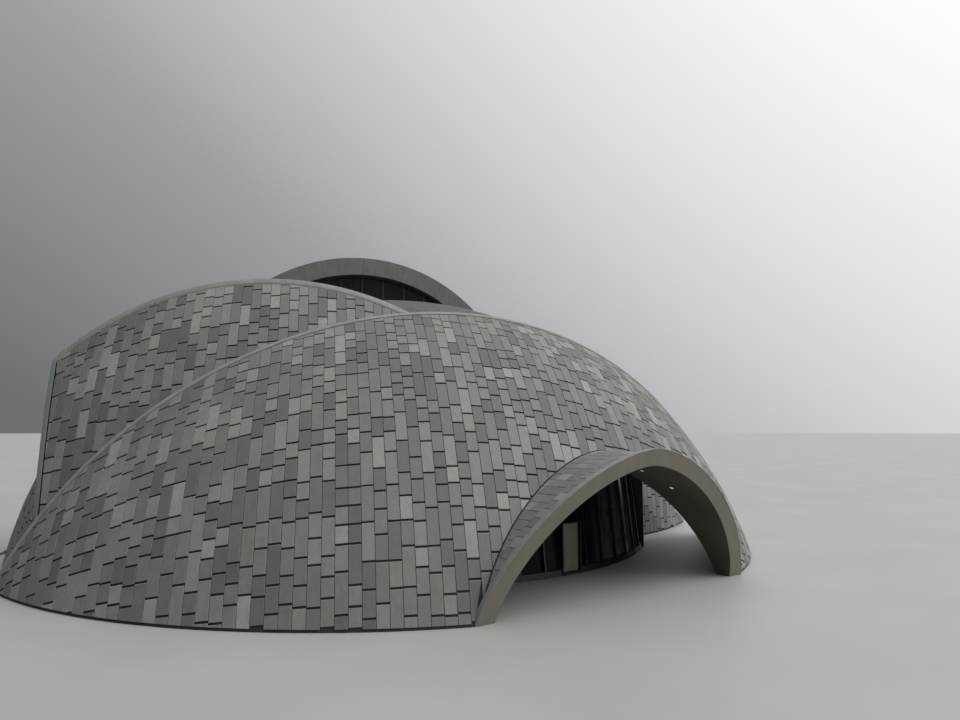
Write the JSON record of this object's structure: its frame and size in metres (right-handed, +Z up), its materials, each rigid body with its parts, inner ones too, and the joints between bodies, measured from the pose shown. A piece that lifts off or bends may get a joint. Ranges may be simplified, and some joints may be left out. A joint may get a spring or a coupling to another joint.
{
  "type": "mosque building",
  "caption": "Mosque building of overlapping spherical shells clad in stone shingles, with a broad entrance arch, a leaning glass wall and a crown window on its dome.",
  "frame": {"origin": "on the ground below the middle of the roof dome, which is the middle of the part's plan", "axes": "+Z up, -Y the side with the entrance arch, +X to the right of it"},
  "size_m": [38.2292, 37.992, 16.05],
  "materials": {
    "stone_tiles": "split-faced grey stone shingles in three lengths, matt, with tone changes from tile to tile",
    "bare_concrete": "bare grey concrete, matt",
    "coping": "pale grey coping, satin",
    "hood_concrete": "smooth warm grey concrete, matt",
    "crown_panels": "dark grey panels, satin",
    "dark_frame": "near-black frames, satin",
    "dark_glass": "dark tinted glass",
    "door_panel": "dark grey-green painted door, satin",
    "floor_stone": "honed pale stone floor"
  },
  "bodies": {
    "root": {"front_shell": "stone_tiles", "rear_shell": "stone_tiles", "crown_shell": "stone_tiles", "left_shell": "stone_tiles", "right_shell": "stone_tiles", "left_low_shell": "stone_tiles", "right_low_shell": "stone_tiles", "left_return_wall": "stone_tiles", "right_return_wall": "stone_tiles", "roof_dome": "bare_concrete", "dome_ring_beam": "bare_concrete", "front_link_wall": "bare_concrete", "rear_link_wall": "bare_concrete", "front_porch_wall": "bare_concrete", "rear_porch_wall": "bare_concrete", "left_shell_back_wall": "bare_concrete", "right_shell_back_wall": "bare_concrete", "left_shell_side_wall": "bare_concrete", "right_shell_side_wall": "bare_concrete", "left_annex_roof": "bare_concrete", "right_annex_roof": "bare_concrete", "left_annex_wall": "bare_concrete", "right_annex_wall": "bare_concrete", "front_shell_rim": "coping", "rear_shell_rim": "coping", "left_shell_rim": "coping", "right_shell_rim": "coping", "left_shell_edge_trim": "coping", "right_shell_edge_trim": "coping", "entrance_arch": "hood_concrete", "rear_arch": "hood_concrete", "crown_arch": "crown_panels", "crown_window_bars": "dark_frame", "front_glass_frame": "dark_frame", "rear_glass_frame": "dark_frame", "door_frame": "dark_frame", "crown_window_glass": "dark_glass", "front_glass_wall": "dark_glass", "rear_glass_wall": "dark_glass", "floor_slab": "floor_stone"},
    "leaf": {"door_leaf": "door_panel"}
  },
  "joints": [
    {"name": "door_swing", "type": "hinge", "parent": "root", "child": "leaf", "pos_m": [9.1104, -10.28305, 0.1], "axis": [0, 0, 1], "range_deg": [0, 90]}
  ]
}
